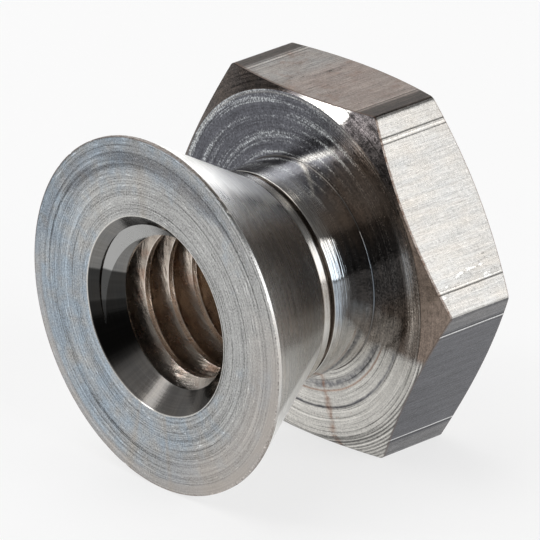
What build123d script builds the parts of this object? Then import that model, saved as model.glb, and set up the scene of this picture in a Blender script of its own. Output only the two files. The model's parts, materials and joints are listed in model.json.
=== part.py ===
"""A shear nut, turned from hexagon bar as one piece, in millimetres.

The thin round rim bears on the work. A smooth cone runs back from it, so that nothing can grip
the nut once it is tight. The six-sided head behind drives the nut, and breaks away at the narrow
groove round the neck. The nut lies on one flat of its head: the thread runs along Y, the bearing
face looks towards -Y, +Z is up, and the origin is on the thread's axis in the bearing face.
"""
import os
from math import cos, radians, tan

from build123d import *

# Thread, 3/8 in with 16 turns to the inch
THREAD_DIAMETER = 9.525
THREAD_PITCH = 1.5875
THREAD_DEPTH_PER_PITCH = 0.54127  # of a 60 degree nut thread, on the radius
FRONT_COUNTERSINK_DEPTH = 1.4
REAR_COUNTERSINK_DEPTH = 1.1
COUNTERSINK_HALF_ANGLE = 45.0

# Rim and cone
RIM_DIAMETER = 19.0
RIM_THICKNESS = 0.2
CONE_HALF_ANGLE = 31.0
CONE_BLEND_RADIUS = 0.5

# Neck, with the groove where the head breaks away
BREAK_WALL = 0.54  # metal left between the thread's grooves and the groove's floor
GROOVE_DEPTH = 0.45
GROOVE_WIDTH = 0.43
GROOVE_ROOT_RADIUS = 0.12
LAND_LENGTH = 0.33
NECK_LENGTH = 2.6
NECK_FILLET_RADIUS = 0.15

# Drive head
ACROSS_FLATS = 18.9
BAR_EDGE_RADIUS = 0.35
HEAD_LENGTH = 5.15
HEAD_FACE_INSET = 0.15  # the head's round end faces lie this far inside its flats
HEAD_CHAMFER_ANGLE = 20.0

CUTTER_MARGIN = 1.0  # how far the cutting shapes reach past what they cut

# Radii worked out from the sizes above
bore_radius = THREAD_DIAMETER / 2 - THREAD_DEPTH_PER_PITCH * THREAD_PITCH
countersink_slope = tan(radians(COUNTERSINK_HALF_ANGLE))
front_mouth_radius = bore_radius + FRONT_COUNTERSINK_DEPTH * countersink_slope
rear_mouth_radius = bore_radius + REAR_COUNTERSINK_DEPTH * countersink_slope
rim_radius = RIM_DIAMETER / 2
groove_radius = THREAD_DIAMETER / 2 + BREAK_WALL
neck_radius = groove_radius + GROOVE_DEPTH
head_face_radius = ACROSS_FLATS / 2 - HEAD_FACE_INSET
blank_radius = ACROSS_FLATS / 2 / cos(radians(30)) + CUTTER_MARGIN

# Places along the axis, from the bearing face back
cone_end = RIM_THICKNESS + (rim_radius - neck_radius) / tan(radians(CONE_HALF_ANGLE))
groove_start = cone_end + LAND_LENGTH
groove_end = groove_start + GROOVE_WIDTH
head_start = groove_end + NECK_LENGTH
head_end = head_start + HEAD_LENGTH
chamfer_length = (blank_radius - head_face_radius) * tan(radians(HEAD_CHAMFER_ANGLE))


def rounded(section, radius, *places):
    """The section with the corners at these places rounded."""
    corners = [section.vertices().sort_by_distance(place)[0] for place in places]
    return fillet(corners, radius)


def half_section():
    """The turned outline on one side of the axis: X is the radius, Y runs along the axis."""
    outline = Polyline(
        (front_mouth_radius, 0),
        (rim_radius, 0),
        (rim_radius, RIM_THICKNESS),
        (neck_radius, cone_end),
        (neck_radius, groove_start),
        (groove_radius, groove_start),
        (groove_radius, groove_end),
        (neck_radius, groove_end),
        (neck_radius, head_start),
        (head_face_radius, head_start),
        (blank_radius, head_start + chamfer_length),
        (blank_radius, head_end - chamfer_length),
        (head_face_radius, head_end),
        (rear_mouth_radius, head_end),
        (bore_radius, head_end - REAR_COUNTERSINK_DEPTH),
        (bore_radius, FRONT_COUNTERSINK_DEPTH),
        close=True,
    )
    section = make_face(outline)
    section = rounded(section, CONE_BLEND_RADIUS, (neck_radius, cone_end))
    section = rounded(
        section,
        GROOVE_ROOT_RADIUS,
        (groove_radius, groove_start),
        (groove_radius, groove_end),
    )
    return rounded(section, NECK_FILLET_RADIUS, (neck_radius, head_start))


def outside_the_bar():
    """What the six flats leave off the turned blank, from the groove back."""
    hexagon = RegularPolygon(ACROSS_FLATS / 2, 6, major_radius=False)
    bar = fillet(hexagon.vertices(), BAR_EDGE_RADIUS)
    waste = Circle(blank_radius + CUTTER_MARGIN) - bar
    start = Plane(origin=(0, groove_end, 0), x_dir=(1, 0, 0), z_dir=(0, 1, 0))
    return extrude(start * waste, head_end + CUTTER_MARGIN - groove_end)


def shear_nut():
    """The turned blank, with the bar's six flats on its head."""
    blank = revolve(half_section(), Axis.Y)
    nut = blank - outside_the_bar()
    nut.label = "shear_nut"
    return nut


os.makedirs("parts", exist_ok=True)
export_step(shear_nut(), "parts/shear_nut.step")
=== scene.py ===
"""The shear nut as it looks: turned, threaded and drawn steel, on a plain pale floor."""
import json
import math

import bmesh
import bpy
from bpy.props import FloatProperty, FloatVectorProperty, PointerProperty
from mathutils import Matrix, Vector, noise


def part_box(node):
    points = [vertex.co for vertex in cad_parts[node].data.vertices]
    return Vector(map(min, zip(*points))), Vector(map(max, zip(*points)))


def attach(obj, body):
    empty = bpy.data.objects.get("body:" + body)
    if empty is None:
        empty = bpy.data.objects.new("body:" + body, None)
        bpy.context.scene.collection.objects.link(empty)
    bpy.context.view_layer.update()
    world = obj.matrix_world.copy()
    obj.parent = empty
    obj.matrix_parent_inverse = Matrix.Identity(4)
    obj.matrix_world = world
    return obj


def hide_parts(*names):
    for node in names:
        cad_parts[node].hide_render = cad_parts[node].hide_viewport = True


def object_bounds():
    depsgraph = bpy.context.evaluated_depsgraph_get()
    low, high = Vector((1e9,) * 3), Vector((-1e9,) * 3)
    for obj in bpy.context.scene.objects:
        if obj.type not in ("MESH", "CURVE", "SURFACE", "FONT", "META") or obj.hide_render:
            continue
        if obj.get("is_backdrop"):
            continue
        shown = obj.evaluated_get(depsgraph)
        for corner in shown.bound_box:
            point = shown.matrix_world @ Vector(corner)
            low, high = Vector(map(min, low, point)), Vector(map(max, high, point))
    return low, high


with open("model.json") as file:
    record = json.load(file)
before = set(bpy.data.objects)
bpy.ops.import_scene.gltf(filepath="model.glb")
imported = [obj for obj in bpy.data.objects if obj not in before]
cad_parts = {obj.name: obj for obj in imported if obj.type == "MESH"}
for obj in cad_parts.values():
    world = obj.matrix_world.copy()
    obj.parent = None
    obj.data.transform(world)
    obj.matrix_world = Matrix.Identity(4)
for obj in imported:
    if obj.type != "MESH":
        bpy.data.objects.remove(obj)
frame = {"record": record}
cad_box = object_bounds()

bl_info = {
    "name": "Shear nut",
    "version": (1, 0, 0),
    "blender": (4, 5, 0),
    "location": "3D View > Sidebar > Shear nut",
    "description": "Builds a turned shear nut with a thread and a hexagon head, and its studio",
    "category": "Add Mesh",
}

MM = 0.001
SAME_PLACE = 0.001 * MM  # points closer than this are one
mounts = {mount["name"]: mount for mount in frame["record"]["mounts"]}
low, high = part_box("shear_nut")
wall_middle = mounts["thread"]["pos_m"][1]
wall_length = mounts["thread"]["dims"]["length_mm"] * MM


def length(name, default, description):
    """A length in metres that a user can change."""
    return FloatProperty(
        name=name, description=description, default=default, min=0.0, precision=5, unit="LENGTH"
    )


def degrees(name, default, description):
    """An angle that a user can change, its default given in degrees."""
    return FloatProperty(
        name=name, description=description, default=math.radians(default), subtype="ANGLE"
    )


def colour(name, default, description):
    """A colour that a user can change."""
    return FloatVectorProperty(
        name=name, description=description, default=default, subtype="COLOR", min=0.0, max=1.0
    )


class NutSizes(bpy.types.PropertyGroup):
    """Sizes of the nut. Those that the solid fixes come from its box and its mounts."""

    rim_diameter: length("Rim diameter", high.z - low.z, "Across the bearing face")
    rim_thickness: length("Rim thickness", 0.2 * MM, "Plain edge of the rim, along the axis")
    cone_half_angle: degrees("Cone half angle", 31, "Between the cone's side and the axis")
    cone_blend: length("Cone blend", 0.12 * MM, "Radius where the cone meets the land")
    neck_diameter: length("Neck diameter", 11.505 * MM, "Neck on either side of the groove")
    land_length: length("Land length", 0.33 * MM, "Neck between the cone and the groove")
    land_step: length("Land step", 0.07 * MM, "How far the land stands proud of the neck")
    groove_width: length("Groove width", 0.43 * MM, "Groove where the head breaks away")
    groove_depth: length("Groove depth", 0.45 * MM, "Depth of that groove below the neck")
    groove_root: length("Groove root radius", 0.12 * MM, "Corners at the groove's floor")
    lead_in: length("Lead-in", 0.08 * MM, "How far the neck is turned down behind the groove")
    lead_in_run: length("Lead-in run", 0.8 * MM, "Half the length of the neck that this takes")
    neck_fillet: length("Neck fillet", 0.06 * MM, "Radius where the neck meets the head")
    across_flats: length(
        "Across flats", 2 * mounts["drive_flat_top"]["pos_m"][2], "Width of the drive head"
    )
    bar_edge: length("Bar edge radius", 0.35 * MM, "Rounding of the hexagon's six long edges")
    head_length: length("Head length", 5.15 * MM, "Drive head, along the axis")
    face_inset: length(
        "Face inset", 0.15 * MM, "How far the head's round faces lie inside its flats"
    )
    head_chamfer: degrees("Head chamfer", 20, "Between the chamfer and the head's end face")
    thread_diameter: length("Thread diameter", 9.525 * MM, "Across the roots of the thread")
    tap_clearance: length("Tap clearance", 0.09 * MM, "How far the tap cuts past that diameter")
    thread_pitch: length("Thread pitch", 1.5875 * MM, "Advance of the thread in one turn")
    bore_radius: length(
        "Bore radius", mounts["thread"]["dims"]["r_mm"] * MM, "Radius inside the thread's crests"
    )
    front_countersink: length(
        "Front countersink", wall_middle - wall_length / 2, "Its depth at the bearing face"
    )
    rear_countersink: length(
        "Rear countersink", high.y - wall_middle - wall_length / 2, "Its depth at the head's end"
    )
    edge_break: length("Edge break", 0.03 * MM, "Rounding of edges left sharp by the tool")
    nicks: length("Nicks", 0.05 * MM, "Depth of the dents along the rim")


class Nut:
    """Radii and places along the axis, in metres, worked out from the sizes."""

    def __init__(self, sizes):
        self.sizes = sizes
        self.rim = sizes.rim_diameter / 2
        self.neck = sizes.neck_diameter / 2
        self.groove = self.neck - sizes.groove_depth
        self.apothem = sizes.across_flats / 2
        self.head_face = self.apothem - sizes.face_inset
        self.front_mouth = sizes.bore_radius + sizes.front_countersink
        self.rear_mouth = sizes.bore_radius + sizes.rear_countersink
        run = self.rim - self.neck
        self.cone_end = sizes.rim_thickness + run / math.tan(sizes.cone_half_angle)
        self.land = self.neck + sizes.land_step
        self.land_start = self.cone_end - sizes.land_step / math.tan(sizes.cone_half_angle)
        self.groove_start = self.cone_end + sizes.land_length
        self.groove_end = self.groove_start + sizes.groove_width
        lead_in_turn = math.atan(sizes.lead_in / sizes.lead_in_run)
        self.lead_in_radius = LEAD_IN_SHARE * sizes.lead_in_run / math.tan(lead_in_turn / 2)
        self.end = high.y
        self.head_start = self.end - sizes.head_length

    def hexagon(self, angle):
        """How far the drawn bar's surface lies from the axis, at an angle from an edge."""
        turn = abs((angle + math.pi / 6) % (math.pi / 3) - math.pi / 6)
        edge = self.sizes.bar_edge
        centre = (self.apothem - edge) / math.cos(math.pi / 6)
        edge_turn = math.atan2(edge * math.sin(math.pi / 6), centre + edge * math.cos(math.pi / 6))
        if turn > edge_turn:
            return self.apothem / math.cos(math.pi / 6 - turn)
        return centre * math.cos(turn) + math.sqrt(edge**2 - (centre * math.sin(turn)) ** 2)

    def countersink(self, place):
        """Radius to which the two countersinks open the bore, at a place along the axis."""
        return max(self.front_mouth - place, self.rear_mouth - (self.end - place))


COLUMNS = 432  # round the turned outside
COLUMN_SHIFT = 0.7  # draws the columns towards the hexagon's edges
LEAD_IN_SHARE = 0.95  # of the lead-in's run, taken up by its round
BUMPS = 30  # of the noise that nicks the rim, in one radian
NICK_START = 0.35  # that noise cuts nothing below this
NICK_RISE = 0.3  # and a whole nick when it is this much higher
THREAD_STEPS = 184  # in one turn of the thread
THREAD_ROWS = 14  # in one pitch
CREST_SHARE = 0.19  # flat on the thread's crest, as a share of the pitch
CREST_ROUND = 0.02 * MM
ROOT_ROUND = 0.05 * MM
THREAD_CREST_ANGLE = math.radians(153.3)  # where a crest lies at the next value, from +X about +Y
THREAD_CREST_PLACE = 2.743 * MM
SHARP = math.radians(18)  # an edge that turns more than this stays sharp in the shading
SIXTH = math.tau / 6


def outline_with_rounds(corners):
    """A bmesh of one open line through corners, each (radius, place, rounding, segments)."""
    bm = bmesh.new()
    places = [Vector((radius, place, 0)) for radius, place, _, _ in corners]
    verts = [bm.verts.new(place) for place in places]
    for pair in zip(verts, verts[1:]):
        bm.edges.new(pair)
    for index in range(1, len(corners) - 1):
        rounding, segments = corners[index][2:]
        if not rounding:
            continue
        before, here, after = places[index - 1:index + 2]
        turn = (here - before).angle(after - here)
        bmesh.ops.bevel(
            bm,
            geom=[verts[index]],
            offset=rounding * math.tan(turn / 2),
            offset_type="OFFSET",
            segments=segments,
            profile=0.5,
            affect="VERTICES",
            material=-1,
        )
    return bm


def outside(nut):
    """The turned outside, spun about the axis, with the bar's flats on its head."""
    sizes = nut.sizes
    tool = sizes.edge_break
    gap = 3 * tool  # ring left open by each mouth, where the bore is joined on
    blank = nut.apothem / math.cos(math.pi / 6)
    corners = [
        (nut.front_mouth + gap, 0, 0, 0),
        (nut.rim, 0, tool, 6),
        (nut.rim, sizes.rim_thickness, tool, 6),
        (nut.land, nut.land_start, sizes.cone_blend, 6),
        (nut.land, nut.groove_start, tool, 6),
        (nut.groove, nut.groove_start, sizes.groove_root, 6),
        (nut.groove, nut.groove_end, sizes.groove_root, 6),
        (nut.neck - sizes.lead_in, nut.groove_end, tool, 6),
        (nut.neck, nut.groove_end + sizes.lead_in_run, nut.lead_in_radius, 8),
        (nut.neck, nut.head_start, sizes.neck_fillet, 8),
        (nut.head_face, nut.head_start, 0, 0),
        (blank, nut.head_start + tool, 0, 0),
        (blank, nut.end - tool, 0, 0),
        (nut.head_face, nut.end, 0, 0),
        (nut.rear_mouth + gap, nut.end, 0, 0),
    ]
    bm = outline_with_rounds(corners)
    support_long_runs(bm, longest=5 * tool, inset=1.5 * tool)
    sweep(bm, SIXTH, COLUMNS // 6)

    def turn_on(verts, step):
        turn = Matrix.Rotation(step * SIXTH, 3, "Y")
        bmesh.ops.rotate(bm, verts=verts, cent=(0, 0, 0), matrix=turn)

    add_copies(bm, 6, turn_on)
    slope = math.tan(sizes.head_chamfer)
    for vert in bm.verts:
        radius = math.hypot(vert.co.x, vert.co.z)
        angle = math.atan2(-vert.co.z, vert.co.x)
        angle -= COLUMN_SHIFT * math.sin(6 * angle) / 6
        side = 1 if vert.co.y < (nut.head_start + nut.end) / 2 else -1
        if vert.co.y > nut.groove_end and radius > nut.head_face:
            share = (radius - nut.head_face) / (blank - nut.head_face)
            radius = nut.head_face + share * (nut.hexagon(angle) - nut.head_face)
            vert.co.y += side * (slope * (radius - nut.head_face) - share * tool)
        elif radius > nut.rim - tool and vert.co.y < sizes.rim_thickness - tool:
            radius -= sizes.nicks * max(0, ragged(angle) - NICK_START) / NICK_RISE
        vert.co.x = radius * math.cos(angle)
        vert.co.z = -radius * math.sin(angle)
    return bm


def ragged(angle):
    """Noise round the rim, from about -0.7 to 0.7, with three bumps to a millimetre."""
    return noise.noise(Vector((math.cos(angle), math.sin(angle), 0.2)) * BUMPS)


def sweep(bm, angle, steps, advance=0.0):
    """Spins a line about the axis, and moves it along by an advance at each step."""
    bmesh.ops.spin(
        bm,
        geom=bm.verts[:] + bm.edges[:],
        cent=(0, 0, 0),
        axis=(0, 1, 0),
        dvec=(0, advance, 0),
        angle=angle,
        steps=steps,
        use_merge=False,
        use_duplicate=False,
    )


def add_copies(bm, count, move):
    """Repeats all that a bmesh holds, count times in all, and joins the copies where they meet."""
    first = bm.verts[:] + bm.edges[:] + bm.faces[:]
    for step in range(1, count):
        copied = bmesh.ops.duplicate(bm, geom=first)["geom"]
        move([item for item in copied if isinstance(item, bmesh.types.BMVert)], step)
    bmesh.ops.remove_doubles(bm, verts=bm.verts[:], dist=SAME_PLACE)


def support_long_runs(bm, longest, inset):
    """Adds a point near both ends of each long run, so that shading bends only there."""
    for edge in [e for e in bm.edges if e.calc_length() > longest]:
        ends = edge.verts[:]
        run = edge.calc_length()
        near = bmesh.utils.edge_split(edge, ends[0], inset / run)[1]
        rest = next(e for e in near.link_edges if ends[0] not in e.verts)
        bmesh.utils.edge_split(rest, ends[1], inset / (run - inset))


def bore(nut):
    """The threaded bore, swept along its helix and opened by the two countersinks."""
    sizes = nut.sizes
    pitch = sizes.thread_pitch
    crest = sizes.bore_radius
    root = sizes.thread_diameter / 2 + sizes.tap_clearance
    crest_flat = CREST_SHARE * pitch
    flank = (root - crest) * math.tan(math.pi / 6)
    root_flat = pitch - crest_flat - 2 * flank
    turns = math.ceil(nut.end / pitch) + 2
    start = THREAD_CREST_PLACE - pitch * THREAD_CREST_ANGLE / math.tau
    start -= math.ceil(start / pitch + 1) * pitch
    corners = [
        (crest, start - crest_flat / 2, 0, 0),
        (crest, start + crest_flat / 2, CREST_ROUND, 2),
        (root, start + crest_flat / 2 + flank, ROOT_ROUND, 2),
        (root, start + crest_flat / 2 + flank + root_flat, ROOT_ROUND, 2),
        (crest, start + pitch - crest_flat / 2, CREST_ROUND, 2),
    ]
    bm = outline_with_rounds(corners)
    for edge in bm.edges[:]:
        cuts = round(edge.calc_length() / (pitch / THREAD_ROWS)) - 1
        if cuts > 0:
            bmesh.ops.subdivide_edges(bm, edges=[edge], cuts=cuts)
    sweep(bm, math.tau, THREAD_STEPS, advance=pitch / THREAD_STEPS)

    def move_on(verts, turn):
        bmesh.ops.translate(bm, verts=verts, vec=(0, turn * pitch, 0))

    add_copies(bm, turns, move_on)
    open_by_countersinks(bm, nut)
    for place, side in ((0, -1), (nut.end, 1)):
        bmesh.ops.bisect_plane(
            bm,
            geom=bm.verts[:] + bm.edges[:] + bm.faces[:],
            plane_co=(0, place, 0),
            plane_no=(0, side, 0),
            dist=SAME_PLACE / 2,
            clear_outer=True,
            clear_inner=False,
        )
    for vert in bm.verts:
        vert.co.y = min(max(vert.co.y, 0), nut.end)
    return bm


def open_by_countersinks(bm, nut):
    """Widens the thread to both countersinks, with a row of points where each cuts it."""

    def excess(vert):
        return math.hypot(vert.co.x, vert.co.z) - nut.countersink(vert.co.y)

    advance = nut.sizes.thread_pitch / THREAD_STEPS
    on_cut = {}
    for edge in bm.edges:
        ends = edge.verts[:]
        depths = [excess(vert) for vert in ends]
        is_lengthwise = abs(ends[0].co.y - ends[1].co.y) > 2 * advance
        if is_lengthwise and depths[0] * depths[1] < 0:
            share = depths[0] / (depths[0] - depths[1])
            nearer = ends[0] if share < 0.5 else ends[1]
            on_cut[nearer] = ends[0].co.lerp(ends[1].co, share)
    for vert, place in on_cut.items():
        vert.co = place
    bmesh.ops.connect_verts(bm, verts=list(on_cut))
    for vert in bm.verts:
        short = -excess(vert)
        if short > 0:
            radius = math.hypot(vert.co.x, vert.co.z)
            vert.co.x *= (radius + short) / radius
            vert.co.z *= (radius + short) / radius


def region(nut, face):
    """Which surface of the turned outside a face belongs to, as its place in REGIONS."""
    centre = face.calc_center_median()
    if centre.y < nut.sizes.edge_break:
        return REGIONS.index("bearing face")
    if centre.y < nut.head_start - SAME_PLACE:
        return REGIONS.index("turned sides")
    is_flat = abs(face.normal.y) < 0.2  # it runs along the axis
    return REGIONS.index("drawn flats" if is_flat else "head faces")


def inner_region(nut, face):
    """The same for a face of the bore."""
    is_cut = all(
        math.hypot(vert.co.x, vert.co.z) < nut.countersink(vert.co.y) + SAME_PLACE
        for vert in face.verts
    )
    return REGIONS.index("countersinks" if is_cut else "thread")


def close_end(bm, place, side, kind):
    """Fills the ring between the outside and the bore at one of the nut's ends."""
    loops = [
        edge for edge in bm.edges
        if edge.is_boundary and all(abs(vert.co.y - place) < SAME_PLACE for vert in edge.verts)
    ]
    filled = bmesh.ops.triangle_fill(
        bm, use_beauty=True, use_dissolve=False, edges=loops, normal=(0, side, 0)
    )["geom"]
    for item in filled:
        if isinstance(item, bmesh.types.BMFace):
            item.material_index = REGIONS.index(kind)


class NutColours(bpy.types.PropertyGroup):
    """Colours of the nut's steel, several of them also laid as painted light and shade."""

    clean: colour("Clean steel", (0.56, 0.56, 0.55), "Freshly turned steel")
    # Bluish steel is also laid on the neck as a painted bluish reflection.
    bluish: colour("Bluish steel", (0.42, 0.50, 0.58), "Bluish patches of turned steel")
    warm: colour("Warm steel", (0.52, 0.47, 0.41), "Yellowish to brownish steel")
    # Beige steel is also laid on the head face as a painted reflection, a ring on its right.
    haze: colour("Beige steel", (0.60, 0.54, 0.49), "Faintly pinkish steel of the rim and crests")
    # Pale steel is also painted light on the head face below and by the neck, painted highlights
    # on its chamfer and round its edge, and a painted reflection across its front.
    pale: colour("Pale steel", (0.72, 0.70, 0.66), "Scuffed and scratched steel")
    # Bright steel is also painted highlight, on the cone, along the neck and on lines by the lower
    # flats' edges.
    bright: colour("Bright steel", (0.84, 0.84, 0.82), "Burnished steel")
    # Slate is dark steel in smears and rings, and painted shade on the head face above, the lower
    # flats, the neck and the chamfer.
    slate: colour("Slate", (0.13, 0.132, 0.15), "Darkened steel")
    # A brownish tint, laid on the top flat only.
    film: colour("Thin film", (0.52, 0.43, 0.38), "Brownish haze on the drawn bar")
    # Brown lies in the thread's roots, in the groove, low in the countersinks and in a band on the
    # top flat's edge, and is painted shade on the rim's edge, where the neck meets the head, on
    # the head face above right and on the chamfer.
    brown: colour("Brown film", (0.19, 0.15, 0.125), "Oil burnt on by the tool")
    rust: colour("Rust", (0.36, 0.20, 0.13), "Reddish stains")


class Value:
    """A socket's output. A sum on it adds the Math nodes that work the sum out."""

    def __init__(self, surface, socket):
        self.surface = surface
        self.socket = socket

    def __add__(self, other):
        return self.surface.math("ADD", self, other)

    def __sub__(self, other):
        return self.surface.math("SUBTRACT", self, other)

    def __rsub__(self, other):
        return self.surface.math("SUBTRACT", other, self)

    def __mul__(self, other):
        return self.surface.math("MULTIPLY", self, other)

    def __truediv__(self, other):
        return self.surface.math("DIVIDE", self, other)

    def __rtruediv__(self, other):
        return self.surface.math("DIVIDE", other, self)

    def __neg__(self):
        return 0 - self

    def __abs__(self):
        return self.surface.math("ABSOLUTE", self)

    __radd__ = __add__
    __rmul__ = __mul__

    def floor(self):
        return self.surface.math("FLOOR", self)

    def clamp(self, least=0.0, most=1.0):
        """The value, held between two others."""
        return self.surface.math("MINIMUM", self.surface.math("MAXIMUM", self, least), most)

    def ease(self, start, end):
        """0 at start and 1 at end, with a smooth rise between them."""
        return self.surface.node(
            "ShaderNodeMapRange",
            {"interpolation_type": "SMOOTHSTEP"},
            {"Value": self, "From Min": start, "From Max": end},
        )

    def near(self, place, reach):
        """1 at a place, falling to 0 at reach from it."""
        return 1 - abs(self - place).ease(0, reach)


class Surface:
    """A material and its nodes."""

    def __init__(self, name):
        self.material = bpy.data.materials.new(name)
        self.material.use_nodes = True
        self.shader = self.material.node_tree.nodes["Principled BSDF"]

    def node(self, kind, settings=None, inputs=None, output=0):
        """Adds a node, its settings first. Gives back one of its outputs, or the node for None."""
        made = self.material.node_tree.nodes.new(kind)
        for name, value in (settings or {}).items():
            setattr(made, name, value)
        for name, value in (inputs or {}).items():
            self.feed(made.inputs[name], value)
        return made if output is None else Value(self, made.outputs[output])

    def feed(self, socket, value):
        """Links a value to a socket, or sets the socket to a number or a colour."""
        if isinstance(value, Value):
            self.material.node_tree.links.new(value.socket, socket)
        elif socket.type == "RGBA":
            socket.default_value = (*value, 1)
        else:
            socket.default_value = value

    def math(self, operation, *values):
        """Adds one Math node."""
        return self.node("ShaderNodeMath", {"operation": operation}, dict(enumerate(values)))


class Finish(Surface):
    """One finish of the steel. Its places and the sizes of its patterns are in millimetres."""

    def __init__(self, name):
        super().__init__(name)
        self.feed(self.shader.inputs["Metallic"], 1)
        whole = self.node("ShaderNodeTexCoord", output="Object")
        parts = self.node("ShaderNodeSeparateXYZ", inputs={"Vector": whole}, output=None)
        self.x, self.y, self.z = [Value(self, parts.outputs[axis]) * (1 / MM) for axis in "XYZ"]
        self.radius = self.math("SQRT", self.x * self.x + self.z * self.z)
        # cosine and sine of the turn round the axis from +X, and that turn in degrees
        self.across = self.x / self.radius
        self.up = self.z / self.radius
        self.angle = self.math("ARCTAN2", self.z, self.x) * math.degrees(1)

    def turn_from_left(self):
        """Degrees from -X, where the bore is seen best. They wrap on its other side."""
        return self.math("ARCTAN2", -self.z, -self.x) * math.degrees(1)

    def flat(self):
        """A number for the nearest of the bar's flats, and the turn from its middle.

        The top flat is 1, the right one 0, and the two below it are -1 and -2.
        """
        sixth = 60
        flat = (self.angle / sixth).floor()
        return flat, (self.angle - flat * sixth - sixth / 2) * math.radians(1)

    def noise(self, x, y, z, detail=2.0):
        """Smooth random values about 0, with features one unit across, mostly within 1 of it."""
        place = self.node("ShaderNodeCombineXYZ", inputs={"X": x, "Y": y, "Z": z})
        made = self.node(
            "ShaderNodeTexNoise", inputs={"Vector": place, "Scale": 1.0, "Detail": detail}
        )
        return (made - 0.5) * 4

    def blotches(self, size, seed=0.0, detail=3.0):
        """Noise with no direction, its features about size across."""
        return self.noise(self.x / size + seed, self.y / size, self.z / size, detail)

    def rings(self, along, width, wander=0.6, seed=0.0, detail=2.0):
        """Noise in rings about the axis, width apart along a distance, changing slowly round."""
        return self.noise(along / width + seed, self.across * wander, self.up * wander, detail)

    def mix(self, share, first, second, blend="MIX"):
        """Two colours mixed by the share that the second has."""
        made = self.node("ShaderNodeMix", {"data_type": "RGBA", "blend_type": blend}, output=None)
        self.feed(made.inputs["Factor"], share)
        sockets = [socket for socket in made.inputs if socket.type == "RGBA"]
        self.feed(sockets[0], first)
        self.feed(sockets[1], second)
        return Value(self, next(s for s in made.outputs if s.type == "RGBA"))

    def layers(self, shade, *layers):
        """Lays colours over a shade, one after another, each with the share that it covers."""
        for share, layer in layers:
            shade = self.mix(share, shade, layer)
        return shade

    def brighten(self, shade, factor):
        """A colour times a number."""
        grey = self.node(
            "ShaderNodeCombineColor", inputs={"Red": factor, "Green": factor, "Blue": factor}
        )
        return self.mix(1.0, shade, grey, "MULTIPLY")

    def finish(self, shade, roughness, height, step):
        """Sets the shader. The height is in steps, and a step is a length in metres."""
        bump = self.node(
            "ShaderNodeBump", inputs={"Strength": 1.0, "Distance": step, "Height": height}
        )
        for name, value in (("Base Color", shade), ("Roughness", roughness), ("Normal", bump)):
            self.feed(self.shader.inputs[name], value)
        return self.material


# Each finish below first makes its patterns, then says where things are on the surface, lays the
# colours over each other and sets how light, how rough and how high each point is. Lengths are in
# millimetres and angles in degrees. The other numbers are shares, and strengths of a pattern.


def bearing_steel(nut, colours):
    """The bearing face: rings of the tool, bluish patches, stains, smears, a worn edge and painted
    shade on the rim's left.
    """
    steel = Finish("bearing face")
    rim = nut.rim / MM
    coarse = steel.rings(steel.radius, 0.15, 0.35, detail=3)
    rings = steel.rings(steel.radius, 0.06, 0.9, seed=4)
    flecks = steel.rings(steel.radius, 0.06, 12, seed=9, detail=1)
    grain = steel.blotches(0.09, seed=1, detail=2)
    clouds = steel.blotches(0.9, seed=5)
    patches = steel.blotches(3.4, seed=3)
    pits = steel.blotches(0.22, seed=12, detail=1).ease(1.15, 1.4)
    chips = steel.blotches(0.13, seed=20, detail=1)

    inner = 1 - steel.radius.ease(0.6 * rim, 0.85 * rim)
    below = (0.2 - steel.up).ease(-0.2, 0.5)
    outer = (steel.radius + clouds * 0.06).ease(0.93 * rim, 0.955 * rim) * below
    polished = (steel.across * 0.8 - steel.up * 0.6 + clouds * 0.12).ease(0.4, 0.95)
    polished = polished * steel.radius.ease(0.7 * rim, 0.86 * rim)
    to_rim = steel.radius.near(rim, 0.2) * (0.5 + steel.across * 0.5)
    # painted shade: a brown line round the rim on its left, where it lies in shade
    edge = steel.radius.near(rim, 0.1) * (1 - steel.across.ease(0.1, 0.6))
    mouth = (steel.radius - nut.front_mouth / MM + flecks * 0.02).near(0, 0.07)

    blue = patches * 0.5 + clouds * 0.6 + 0.35 - steel.across * 0.5
    blue = blue - inner * (steel.up * 0.5 + 0.3)
    stain = steel.noise(steel.across * 3.2, steel.up * 3.2, 11, detail=1).ease(0.55, 1.1)
    stain = stain + steel.angle.near(96, 5) * (clouds * 0.5 + 0.8).clamp()
    stain = stain + steel.angle.near(-105, 2.5) + steel.angle.near(-85, 2)
    smear = steel.radius.near(0.88 * rim, 0.12 * rim) * (
        steel.noise(steel.across * 1.7, steel.up * 1.7, steel.radius * 0.8 + 3) * 0.8
        + steel.rings(steel.radius, 0.3, 2.5, seed=2) * 0.5
        + steel.up * 0.8
    ).ease(0.2, 0.9)
    shade = steel.layers(
        colours.clean,
        (blue.clamp() * 0.9, colours.bluish),
        (outer * 0.5, colours.haze),
        (stain.clamp() * 0.45, colours.warm),
        (smear * 0.6, colours.slate),
        (polished * 0.5, colours.haze),
    )

    lines = coarse.ease(0.45, 0.95) * (0.35 + inner * 0.45) + rings.ease(0.5, 1.0) * 0.35
    lines = lines * (1 - polished * 0.6) * (1 - below * 0.4)
    light = flecks.ease(0.5, 1.1) * 0.6 + (-coarse).ease(0.5, 1.2) * 0.3
    tone = 0.66 + grain * 0.32 + rings * 0.3 - coarse * 0.14 + clouds * 0.07 - patches * 0.03
    tone = tone + light - lines * (1 - outer * 0.5) - (-flecks).ease(0.6, 1.1) * 0.3
    tone = tone * (1 - pits * 0.6) + (outer * 0.3 + polished * 0.45).clamp() * (0.74 - tone)
    tone = tone + to_rim * ((-chips).ease(0.4, 0.9) * 0.6 - chips.ease(0.3, 0.8) * 0.5)
    shade = steel.layers(
        steel.brighten(shade, tone.clamp(0.12, 1.7)),
        (mouth * (0.7 + grain * 0.4).clamp(), colours.pale),
        (edge * (0.8 + grain * 0.3).clamp(), colours.brown),
    )
    roughness = (0.36 + coarse * 0.04 + grain * 0.05 - smear * 0.1).clamp(0.15, 0.6)
    height = grain * 0.4 + flecks * 0.4 + rings + coarse - pits * 3
    return steel.finish(shade, roughness, height, 0.0012 * MM)


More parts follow.
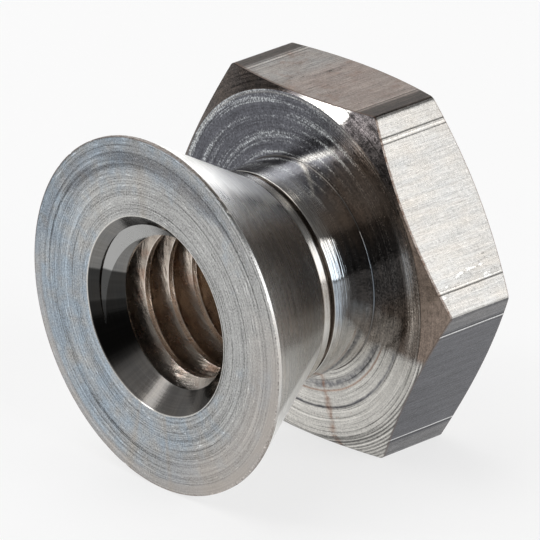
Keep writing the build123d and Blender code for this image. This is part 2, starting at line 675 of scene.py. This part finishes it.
def side_steel(nut, colours):
    """The cone, land, groove and neck: smooth and dark, with painted highlights, a painted bluish
    reflection, painted shade and brown in the groove.
    """
    steel = Finish("turned sides")
    rim_end, neck = nut.sizes.rim_thickness / MM, nut.neck / MM
    land_start, head_start = nut.land_start / MM, nut.head_start / MM
    groove_start, groove_end = nut.groove_start / MM, nut.groove_end / MM
    fine = steel.rings(steel.y, 0.05, 1.2)
    arcs = steel.rings(steel.y, 0.08, 7, seed=3)
    bands = steel.rings(steel.y, 0.35, 0.8, seed=5)
    clouds = steel.blotches(1.5, seed=2)
    grain = steel.blotches(0.1, seed=6, detail=1)

    is_rim = 1 - steel.y.ease(rim_end, rim_end + 0.06)
    is_cone = 1 - steel.y.ease(land_start - 0.1, land_start)
    is_land = is_cone.near(0, 0.5) * (1 - steel.y.ease(groove_start, groove_start + 0.02))
    is_groove = 1 - steel.radius.ease(neck - 0.2, neck - 0.06)
    is_neck = steel.y.ease(groove_end, groove_end + 0.05)
    scored = is_neck * (1 - steel.y.ease(groove_end + 0.4, groove_end + 1.4))
    corner = steel.y.near(head_start, 0.1)

    # painted highlights: a bright band on the top and the lower right of the cone, and a bright
    # line along the top of the neck
    painted_streak = is_neck * (steel.angle + arcs * 0.6).near(86, 10)
    painted_highlight = (steel.angle + arcs * 1.6 + fine * 1.2 + bands).ease(58, 66)
    painted_highlight = painted_highlight * (1 - steel.angle.ease(120, 168)) + steel.angle.near(-24, 11).ease(0, 0.4)
    painted_highlight = is_cone * painted_highlight + painted_streak
    # painted shade: brown where the neck meets the head; the groove is brown too
    film = steel.y.near(head_start - 0.1, 0.35) * (clouds * 0.5 + 0.5).clamp()
    # painted shade: the rim's plain edge is brown, except on its lit right
    rim_shade = is_rim * (1 - steel.angle.near(18, 48).ease(0, 0.4))
    # painted shade: a slate zone on the neck
    neck_shade = is_neck * (steel.angle + steel.y * 5 + arcs + bands).near(49, 32)
    # painted reflection: a bluish cast on the neck behind the groove
    blue_reflection = is_neck * (steel.angle + bands * 5 + arcs * 2).near(10, 34).ease(0.1, 0.8)
    shade = steel.layers(
        colours.clean,
        ((bands * 0.3 + clouds * 0.3 + 0.3 - is_cone * 0.2).clamp(), colours.warm),
        (painted_highlight * 0.8, colours.bright),
        ((film + is_groove * 0.8).clamp() * 0.7, colours.brown),
        (rim_shade * (0.8 + grain * 0.3).clamp(), colours.brown),
        (neck_shade.ease(0.05, 0.25) * 0.2, colours.slate),
        (blue_reflection * 0.75, colours.bluish),
    )

    tone = 0.98 + fine * 0.14 + arcs * 0.16 + bands * 0.07 + grain * is_cone * 0.08
    # painted highlights: the land and the right of the cone are lighter in tone
    tone = tone + painted_highlight * 0.15 + painted_streak * 0.5 + is_land * 0.3
    tone = tone + is_cone * steel.angle.near(20, 45) * 0.3
    # painted shade: the corner where the neck meets the head is darker in tone
    shade = steel.brighten(shade, tone.clamp(0.1, 1.15 + is_cone * 0.15) * (1 - corner * 0.75))
    roughness = 0.07 + is_cone * 0.2 + painted_highlight * 0.12 + is_land * 0.1 + fine * 0.02 + clouds * 0.02
    height = (fine + arcs * 0.4 + bands) * (0.35 + is_cone * 0.9 + scored * 0.9)
    return steel.finish(shade, roughness.clamp(0.04, 0.5), height, 0.0016 * MM)


def head_steel(nut, colours):
    """The head's turned faces: painted shade above, dark and scratched, and painted light below,
    pale and ringed, with painted highlights and reflections.
    """
    steel = Finish("head faces")
    face, head_start = nut.head_face / MM, nut.head_start / MM
    ridge = 0.17  # between the tool's ridges on the lower chamfer
    coarse = steel.rings(steel.radius, 0.34, 0.9, seed=9, detail=3)
    rings = steel.rings(steel.radius, 0.12, 1.2, seed=2, detail=3)
    fine = steel.rings(steel.radius, 0.07, 3, seed=8)
    crisp = steel.rings(steel.radius, 0.16, 0.6, seed=31, detail=1)
    flecks = steel.rings(steel.radius, 0.09, 9, seed=21, detail=2)
    grain = steel.blotches(0.08, seed=4, detail=2)
    clouds = steel.blotches(0.9, seed=1)
    broken = steel.blotches(0.35, seed=14, detail=3)

    # the chamfer, the part below painted light, the part on the right painted brown as shade, the
    # bar's edges, the front
    chamfer = steel.radius.ease(face - 0.02, face + 0.02)
    on_face = 1 - chamfer
    below = (rings * 0.12 - steel.z).ease(2.5, 3.2)
    above = 1 - below
    by_neck = (rings * 0.1 - steel.z).ease(0.5, 1.2) * (1 - steel.radius.ease(7.6, 8.1)) * above
    right = (steel.across * 0.95 + steel.up * 0.1 + rings * 0.03 + clouds * 0.05).ease(0.35, 0.7)
    to_edge = nut.apothem / MM / steel.math("COSINE", steel.flat()[1]) - steel.radius
    is_front = 1 - steel.y.ease(head_start + 1, head_start + 2)

    # the chamfer has a painted highlight left of the top right corner, painted brown shade flecked
    # with rust beyond that and painted dark shade to its right
    past_corner = (steel.angle + broken * 1.2).ease(66, 69)
    to_left = steel.angle.ease(140, 168)
    chamfer_highlight = chamfer * past_corner * (1 - steel.angle.ease(82, 90))
    burnt = chamfer * steel.angle.ease(88, 100) * (1 - to_left)
    corner = chamfer * (1 - past_corner) * above * steel.angle.ease(-178, -150)
    chamfer_shade_colour = steel.mix(steel.angle.ease(32, 48) * (1 - to_left) * 0.6, colours.brown, colours.slate)

    scratches = (coarse * 1.3 + rings * 0.5 + flecks * 0.3 + grain * 0.5).ease(0.0, 1.6)
    upper = above * (1 - chamfer * 0.85)
    scored = steel.mix(right * 0.4 + 0.55, colours.bluish, colours.pale)
    # painted reflection: a beige ring on the right of the face
    ring_reflection = (steel.radius + rings * 0.1).near(0.93 * face, 0.55) * steel.angle.near(6, 36)
    band = steel.radius.near(0.695 * face, 0.42) * (broken * 0.6 + 0.8).clamp()
    line = (steel.radius + clouds * 0.03).near(0.832 * face, 0.13) * (clouds * 0.4 + 0.8).clamp()
    rust = (steel.radius + clouds * 0.02).near(0.735 * face, 0.1)
    rust = rust + steel.radius.near(0.885 * face, 0.18) * broken.ease(0.4, 0.9)
    rust = rust + steel.noise(steel.across * 7, steel.up * 7, 2, detail=1).ease(0.9, 1.3) * 0.5
    rust = rust + (steel.angle + clouds * 1.5).near(-75, 2.5) * (broken * 0.6 + 0.7).clamp()
    # painted highlight: a pale ring by the face's edge, stronger below
    bright = (steel.radius + clouds * 0.02).near(0.985 * face, 0.1)
    # painted reflection of the neck's bright line, across the front face
    painted_streak = (steel.z - steel.x * 0.5 + flecks * 0.04).near(5.63, 0.34) * on_face * is_front
    painted_streak = painted_streak * steel.x.near(1.5, 2.0).ease(0.05, 0.3)
    # painted shade above, in slate and in brown on the right, and painted light below and by the
    # neck, in pale steel
    shade = steel.layers(
        colours.slate,
        (right * above, colours.brown),
        ((below + by_neck * 0.3).clamp(), colours.pale),
        (scratches * upper * (1 - right * 0.9), scored),
        ((ring_reflection * (1.3 + fine * 0.6)).clamp() * on_face, colours.haze),
        ((band * 0.85 + line).clamp() * below, colours.slate),
        (rust.clamp() * below * 0.7, colours.rust),
        (bright * (0.3 + below * 0.6) * on_face, colours.pale),
        (chamfer * above * 0.9, chamfer_shade_colour),
        (burnt * (0.7 + clouds * 0.3).clamp(), colours.brown),
        (burnt * broken.ease(0.7, 1.2) * 0.5, colours.rust),
        (chamfer_highlight, colours.pale),
        (painted_streak * 0.5, colours.pale),
    )

    lines = rings.ease(0.3, 0.9) * (0.3 + below * 0.3) + fine.ease(0.4, 0.9) * 0.35
    lines = lines + below * (crisp.ease(0.5, 0.7) * 0.35 - (-crisp).ease(0.5, 0.8) * 0.2)
    # painted shade: darker on the face's inner right, by the neck, above
    inner_shade = (1 - steel.radius.ease(7.9, 8.4)) * steel.angle.near(8, 34) * above
    ridges = steel.math("SINE", steel.radius * (math.tau / ridge)) * chamfer * below
    tone = 0.82 + below * 0.06 + grain * (0.4 - below * 0.2) + rings * 0.2 + fine * 0.22 - lines
    tone = tone + clouds * 0.05 - inner_shade * 0.5
    # the tone paints the chamfer lighter at its highlight and darker at its top, and darker just
    # right of the top right corner and lighter further round
    tone = tone - chamfer * below * 0.3 + ridges * 0.3 + chamfer_highlight * (0.05 + fine * 0.1) - burnt * 0.35
    tone = tone + corner * (steel.angle.ease(48, 32) * 0.75 - 0.45 + broken * 0.3)
    tone = tone * (1 - to_edge.near(0, 0.09) * (0.3 + grain * 0.5).clamp(0, 0.8))
    shade = steel.brighten(shade, tone.clamp(0.12, 1.6))
    roughness = 0.13 + below * 0.16 + scratches * 0.2 + grain * 0.03 - chamfer_highlight * 0.05
    height = rings + coarse * 0.6 + fine * 0.5 + grain * 0.4 - band * below + ridges * 2
    return steel.finish(shade, roughness.clamp(0.08, 0.6), height, 0.0012 * MM)


def bar_steel(nut, colours):
    """The drawn flats: streaks along the bar, die marks by its edges, pits and burrs, a brownish
    tint on the top flat, and painted shade on the top and lower flats.
    """
    steel = Finish("drawn flats")
    flat, turn = steel.flat()
    place = steel.math("TANGENT", turn) * (nut.apothem / MM)  # across the flat, from its middle
    fine = steel.noise(place / 0.08 + flat * 13, steel.y / 2.4, flat * 3, detail=2)
    scratches = steel.noise(place / 0.06 + flat * 7, steel.y / 0.7, flat * 5, detail=1)
    broad = steel.noise(place / 0.4 + flat * 17, steel.y / 7, flat * 2, detail=2)
    scales = steel.blotches(0.2, seed=15, detail=3)
    grain = steel.blotches(0.08, seed=7, detail=2)
    clouds = steel.blotches(1.4, seed=2)
    pits = steel.blotches(0.16, seed=8, detail=2).ease(0.9, 1.3)

    # the top and lower flats are painted darker as shade, the lower ones in slate, and the right
    # flat a little
    is_top = flat.near(1, 0.5)
    is_right = flat.near(0, 0.5)
    is_low = flat.near(-1, 0.5) + flat.near(-2, 0.5) * 0.6
    wander = steel.noise(flat * 1.7, 0.0, 0.0) * 0.12 + clouds * 0.01
    one_side, other_side = place - wander, place + wander
    marks = one_side.near(4.32, 0.07) + one_side.near(4.02, 0.06) * 0.8
    marks = marks + other_side.near(-4.12, 0.08)
    # raised lines by the edges, painted lighter as highlights
    bright = one_side.near(4.17, 0.08) + other_side.near(-4.0, 0.06)
    beyond = one_side.ease(4.34, 4.6) + (-place - wander).ease(4.2, 4.4)
    scuff = steel.noise(place / 0.4 + 3, steel.y / 1.1, 5.0, detail=3) * is_right
    scuff = scuff * place.near(-3.7, 1.6)
    rise = (steel.radius - nut.head_face / MM) * math.tan(nut.sizes.head_chamfer)
    burr = (steel.y - nut.head_start / MM - rise + scales * 0.03).near(0, 0.22).ease(0.1, 0.6)
    burr = (burr + (nut.end / MM - rise - steel.y).near(0, 0.07)) * (0.75 + scales * 0.35).clamp()

    greyer = (place + clouds * 0.4).ease(0.6, 2.2)
    film = is_top * (0.95 + clouds * 0.25 - greyer * 0.65).clamp()
    blush = is_top * steel.blotches(0.8, seed=30, detail=4).ease(0.1, 1.0) * (1 - beyond)
    shade = steel.layers(
        colours.clean,
        ((broad * 0.2 + clouds * 0.2 + 0.3).clamp(), colours.warm),
        (film, colours.film),
        (blush * 0.4, colours.rust),
        (is_low * (0.95 - beyond * 0.25), colours.slate),
        (is_low * bright.clamp() * 0.8, colours.bright),
        (scuff.ease(0.3, 0.38) * 0.6, colours.bright),
        (is_top * beyond * (0.85 + grain * 0.2).clamp(), colours.brown),
    )

    # painted shade: the tone is lower on the top and lower flats, and a little on the right flat
    tone = 1.12 + fine * 0.18 + scratches * 0.1 + broad * 0.12 + grain * 0.12 + scales * 0.09
    tone = tone + scratches.ease(0.6, 1.2) * 0.2 - broad.ease(0.9, 1.4) * 0.35 - is_low * 0.46
    tone = tone - is_top * (0.45 + beyond * 0.35 - grain * 0.08) - is_right * 0.1
    tone = tone + is_low * grain.ease(0.4, 0.9) * 0.25 - scuff.near(0.28, 0.06) * 0.35
    tone = tone * (1 - pits * 0.6) * (1 - marks.clamp() * 0.75)
    tone = tone + bright.clamp() * (0.3 + grain * 0.3 + is_low * 0.5).clamp()
    dark_rust = [0.35 * part for part in colours.rust]
    shade = steel.brighten(shade, tone.clamp(0.1, 2.0))
    shade = steel.mix(burr * (0.95 - is_low * 0.4), shade, dark_rust)
    roughness = 0.27 + fine * 0.05 + scales * 0.03 + pits * 0.25 + is_top * 0.06
    height = fine * 0.5 + scratches * 0.3 + broad + scales * 0.6 - pits * 3 - marks * 5
    return steel.finish(shade, roughness.clamp(0.12, 0.7), height + bright * 3, 0.0014 * MM)


def mouth_darkness(steel):
    """How dark the painted shade on the left of the bore's front mouth is, from 0 to 1, in two
    steps round it.
    """
    turn = steel.turn_from_left()
    lower = turn.ease(7, 9) * (1 - turn.ease(36, 52))
    dark = turn.ease(-14, -12) * (1 - turn.ease(38, 58)) * (0.8 + lower * 0.1)
    return dark * (1 - steel.y.ease(2, 3))


def countersink_steel(nut, colours):
    """The smooth countersinks, with faint marks of the tool across them, painted dark all over as
    shade.
    """
    steel = Finish("countersinks")
    fine = steel.rings(steel.y, 0.05, 1.2, seed=6)
    chatter = steel.noise(steel.across * 30, steel.up * 30, steel.y * 0.4)
    clouds = steel.blotches(1.2, seed=3)
    above = (steel.up - steel.across * 0.7).ease(0.6, 0.9)
    to_mouth = nut.front_mouth / MM - steel.radius
    shade = steel.layers(
        colours.clean,
        ((clouds * 0.3 + 0.25).clamp(), colours.warm),
        ((-steel.up).ease(0.1, 0.8) * 0.35, colours.brown),
    )
    # painted shade: the tone keeps the countersinks dark, darker still on the left of the front
    # mouth
    tone = 0.3 + above * 0.02 + fine * 0.04 + chatter * 0.04 + clouds * 0.03
    shade = steel.brighten(shade, tone * (1 - mouth_darkness(steel)))
    shade = steel.mix(to_mouth.near(0, 0.05), shade, colours.pale)
    roughness = (0.16 + fine * 0.03 + chatter * 0.03).clamp(0.03, 0.4)
    return steel.finish(shade, roughness, fine + chatter * 0.8, 0.0006 * MM)


def thread_steel(nut, colours):
    """The thread: torn and brown in its roots, brighter on its crests and by the mouth, with
    painted shade at its top and painted light deep inside.
    """
    steel = Finish("thread")
    advance = steel.y - steel.turn_from_left() * (nut.sizes.thread_pitch / MM / 360)
    along = steel.noise(advance / 0.06, steel.across * 1.5, steel.up * 1.5, detail=2)
    torn = steel.noise(advance / 0.13 + 5, steel.across * 6, steel.up * 6, detail=3)
    fine = steel.noise(steel.across * 40, steel.up * 40, steel.y * 2.5)
    patches = steel.blotches(0.9, seed=6)
    crest_radius = nut.sizes.bore_radius / MM
    depth = steel.y.ease(1.2, 2.6)
    # deep inside, the crests fade into torn steel, and the tone is raised there as painted light
    torn_and_lit = steel.y.ease(4.0, 5.4)
    crest = 1 - steel.radius.ease(crest_radius + 0.02, crest_radius + 0.06)
    crest = crest * (1 - torn_and_lit * (0.6 + torn * 0.3))
    worn = 0.25 + depth * 0.75
    shade = steel.layers(
        colours.clean,
        (depth, colours.warm),
        ((0.55 + patches * 0.3 + torn * 0.2).clamp() * depth, colours.brown),
        (patches.ease(0.0, 0.9) * depth * 0.35, colours.rust),
        (crest * (0.45 + torn * 0.3).clamp(), colours.haze),
    )
    tone = 1.85 + (along * 0.3 + fine * 0.12 + torn * 0.25) * (worn + torn_and_lit * 0.6)
    # painted shade: darker towards the top of the bore
    tone = tone + crest * 0.1 + torn_and_lit * 0.3 - (steel.up - steel.across * 0.1).ease(0.0, 0.4) * 0.7
    tone = tone - torn.ease(0.6, 1.1) * depth * 0.35
    tone = tone * depth + (1 - depth) * 0.7
    # painted shade on the left of the front mouth, reaching into the thread's start
    tone = tone * (1 - mouth_darkness(steel) * (1 - depth))
    shade = steel.brighten(shade, tone.clamp(0.03, 1.8))
    roughness = (0.24 + patches * 0.04 + torn * 0.06 + fine * 0.02).clamp(0.08, 0.5)
    height = (along + torn * 2 + fine * 0.5) * worn
    return steel.finish(shade, roughness, height, 0.002 * MM)


FINISHES = {
    "bearing face": bearing_steel,
    "turned sides": side_steel,
    "head faces": head_steel,
    "drawn flats": bar_steel,
    "countersinks": countersink_steel,
    "thread": thread_steel,
}
REGIONS = list(FINISHES)


class SHEARNUT_OT_nut(bpy.types.Operator):
    """Build the nut with its thread, groove, cone and drive head"""

    bl_idname = "shearnut.nut"
    bl_label = "Build the nut"

    def execute(self, context):
        nut = Nut(context.scene.shear_nut_sizes)
        bm = outside(nut)
        inner = bore(nut)
        for face in bm.faces:
            face.material_index = region(nut, face)
        for face in inner.faces:
            face.material_index = inner_region(nut, face)
        mesh = bpy.data.meshes.new("nut")
        inner.to_mesh(mesh)
        inner.free()
        bm.from_mesh(mesh)
        close_end(bm, 0, -1, "bearing face")
        close_end(bm, nut.end, 1, "head faces")
        bmesh.ops.recalc_face_normals(bm, faces=bm.faces[:])
        for face in bm.faces:
            face.smooth = True
        for edge in bm.edges:
            edge.smooth = edge.is_manifold and edge.calc_face_angle() < SHARP
        bm.to_mesh(mesh)
        bm.free()
        piece = bpy.data.objects.new("nut", mesh)
        context.scene.collection.objects.link(piece)
        for finish in FINISHES.values():
            mesh.materials.append(finish(nut, context.scene.shear_nut_colours))
        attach(piece, "root")
        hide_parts("shear_nut")
        return {"FINISHED"}


class StageSettings(bpy.types.PropertyGroup):
    """Where the camera stands and how bright the studio is."""

    azimuth: degrees("Azimuth", 49.256, "Camera's turn round the nut, from its front")
    elevation: degrees("Elevation", 22.983, "Camera's height above the nut")
    roll: degrees("Roll", 1.722, "Camera's tilt about its own view")
    distance: length("Distance", 0.39446, "From the camera to the nut")
    target: FloatVectorProperty(
        name="Target",
        description="Where the camera looks",
        default=(0.08 * MM, 7.74 * MM, 0.273 * MM),
        subtype="TRANSLATION",
        unit="LENGTH",
        precision=6,
    )
    focal_length: FloatProperty(
        name="Focal length", description="In millimetres", default=513.48, min=1.0
    )
    floor_colour: colour("Floor", (0.9, 0.9, 0.9), "Colour of the floor")
    floor_glow: FloatProperty(
        name="Floor glow",
        description="Share of plain white in the floor as seen",
        default=0.7,
        min=0.0,
    )
    surroundings: FloatProperty(
        name="Surroundings",
        description="Grey of everything beyond the lamps",
        default=0.17,
        min=0.0,
    )


FLOOR_REACH = 1.5  # from the nut to each side of the floor
LAMPS = (
    # name, azimuth, elevation, width and height in degrees, distance, brightness of its face
    ("left", 250, 28, 36, 32, 1.2, 1.4),
    ("back", 205, 16, 36, 26, 1.2, 2.6),
    ("right", 100, 20, 40, 36, 1.2, 3.2),
    ("right back", 128, 20, 14, 34, 1.2, 1.7),
    ("low front", 327, 4.4, 28, 11.2, 0.45, 6.0),
    ("front strip", 315, 35, 12, 26, 1.2, 3.6),
    ("front left", 288, 22, 38, 40, 1.2, 0.4),
    ("front", 8, 50, 60, 26, 1.2, 0.42),
    ("top", 290, 74, 50, 44, 1.2, 1.8),
)


def floor_paper(stage):
    """White paper that glows a little where it is looked at, and so keeps only soft shadows."""
    paper = Surface("floor paper")
    for name, value in (
        ("Base Color", stage.floor_colour), ("Roughness", 1), ("Specular IOR Level", 0)
    ):
        paper.feed(paper.shader.inputs[name], value)
    rays = paper.node("ShaderNodeLightPath", output=None)
    kinds = ("Camera", "Glossy", "Transmission")
    camera, glossy, passing = [Value(paper, rays.outputs[f"Is {kind} Ray"]) for kind in kinds]
    seen = paper.math("MAXIMUM", paper.math("MAXIMUM", camera, glossy), passing)
    glow = paper.node("ShaderNodeEmission")
    plain = Value(paper, paper.shader.outputs[0])
    mixed = paper.node(
        "ShaderNodeMixShader", inputs={0: seen * stage.floor_glow, 1: plain, 2: glow}
    )
    paper.feed(paper.material.node_tree.nodes["Material Output"].inputs["Surface"], mixed)
    return paper.material


def direction(azimuth, elevation):
    """Unit vector towards a place round the nut, turned from -Y towards +X and raised."""
    return Vector((
        math.sin(azimuth) * math.cos(elevation),
        -math.cos(azimuth) * math.cos(elevation),
        math.sin(elevation),
    ))


class SHEARNUT_OT_stage(bpy.types.Operator):
    """Set the floor, the lamps and the camera"""

    bl_idname = "shearnut.stage"
    bl_label = "Set the stage"

    def execute(self, context):
        scene = context.scene
        stage = scene.shear_nut_stage
        scene.view_settings.view_transform = "Standard"
        self.camera(scene, stage)
        self.surroundings(scene, stage)
        for lamp in LAMPS:
            self.lamp(scene, *lamp)
        self.floor(scene, stage)
        return {"FINISHED"}

    def camera(self, scene, stage):
        """Stands the camera back from its target, turned and tilted as the settings say."""
        back = direction(stage.azimuth, stage.elevation)
        turn = back.to_track_quat("Z", "Y").to_matrix() @ Matrix.Rotation(-stage.roll, 3, "Z")
        place = Matrix.Translation(Vector(stage.target) + back * stage.distance)
        camera = bpy.data.cameras.new("camera")
        camera.lens = stage.focal_length
        camera.clip_start = 0.01
        camera.clip_end = 10
        holder = bpy.data.objects.new("camera", camera)
        holder.matrix_world = place @ turn.to_4x4()
        scene.collection.objects.link(holder)
        scene.camera = holder

    def surroundings(self, scene, stage):
        """Gives the world one plain grey."""
        world = bpy.data.worlds.new("studio")
        world.use_nodes = True
        background = world.node_tree.nodes["Background"]
        background.inputs["Color"].default_value = (*[stage.surroundings] * 3, 1)
        scene.world = world

    def lamp(self, scene, name, azimuth, elevation, width, height, distance, brightness):
        """Hangs one soft box, facing the nut, that looks as large from there as its angles say."""
        towards = direction(math.radians(azimuth), math.radians(elevation))
        lamp = bpy.data.lights.new(name, "AREA")
        lamp.shape = "RECTANGLE"
        lamp.size = 2 * distance * math.tan(math.radians(width / 2))
        lamp.size_y = 2 * distance * math.tan(math.radians(height / 2))
        lamp.energy = brightness * math.pi * lamp.size * lamp.size_y
        holder = bpy.data.objects.new(name, lamp)
        turn = towards.to_track_quat("Z", "Y").to_matrix().to_4x4()
        holder.matrix_world = Matrix.Translation(towards * distance) @ turn
        scene.collection.objects.link(holder)

    def floor(self, scene, stage):
        """Lays the floor under the nut's lowest point."""
        bm = bmesh.new()
        bmesh.ops.create_grid(bm, x_segments=1, y_segments=1, size=FLOOR_REACH)
        bmesh.ops.translate(bm, verts=bm.verts[:], vec=(0, 0, cad_box[0].z))
        mesh = bpy.data.meshes.new("floor")
        bm.to_mesh(mesh)
        bm.free()
        mesh.materials.append(floor_paper(stage))
        floor = bpy.data.objects.new("floor", mesh)
        scene.collection.objects.link(floor)
        floor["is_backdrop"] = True


class SHEARNUT_PT_panel(bpy.types.Panel):
    """Steps that build the nut and its studio"""

    bl_label = "Shear nut"
    bl_idname = "SHEARNUT_PT_panel"
    bl_space_type = "VIEW_3D"
    bl_region_type = "UI"
    bl_category = "Shear nut"

    def draw(self, context):
        for operator in (SHEARNUT_OT_nut, SHEARNUT_OT_stage):
            self.layout.operator(operator.bl_idname)


classes = (
    NutSizes,
    NutColours,
    StageSettings,
    SHEARNUT_OT_nut,
    SHEARNUT_OT_stage,
    SHEARNUT_PT_panel,
)


def register():
    """Adds the classes and the nut's settings to Blender."""
    for cls in classes:
        bpy.utils.register_class(cls)
    bpy.types.Scene.shear_nut_sizes = PointerProperty(type=NutSizes)
    bpy.types.Scene.shear_nut_colours = PointerProperty(type=NutColours)
    bpy.types.Scene.shear_nut_stage = PointerProperty(type=StageSettings)


def unregister():
    """Takes them out again."""
    del bpy.types.Scene.shear_nut_stage
    del bpy.types.Scene.shear_nut_colours
    del bpy.types.Scene.shear_nut_sizes
    for cls in reversed(classes):
        bpy.utils.unregister_class(cls)


def main():
    """Builds the nut and its studio, and works out how large both models are."""
    register()
    bpy.ops.shearnut.nut()
    bpy.ops.shearnut.stage()
    boxes = {"cad": cad_box, "visual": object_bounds()}
    {name: [list(corner) for corner in box] for name, box in boxes.items()}


if __name__ == "__main__":
    main()
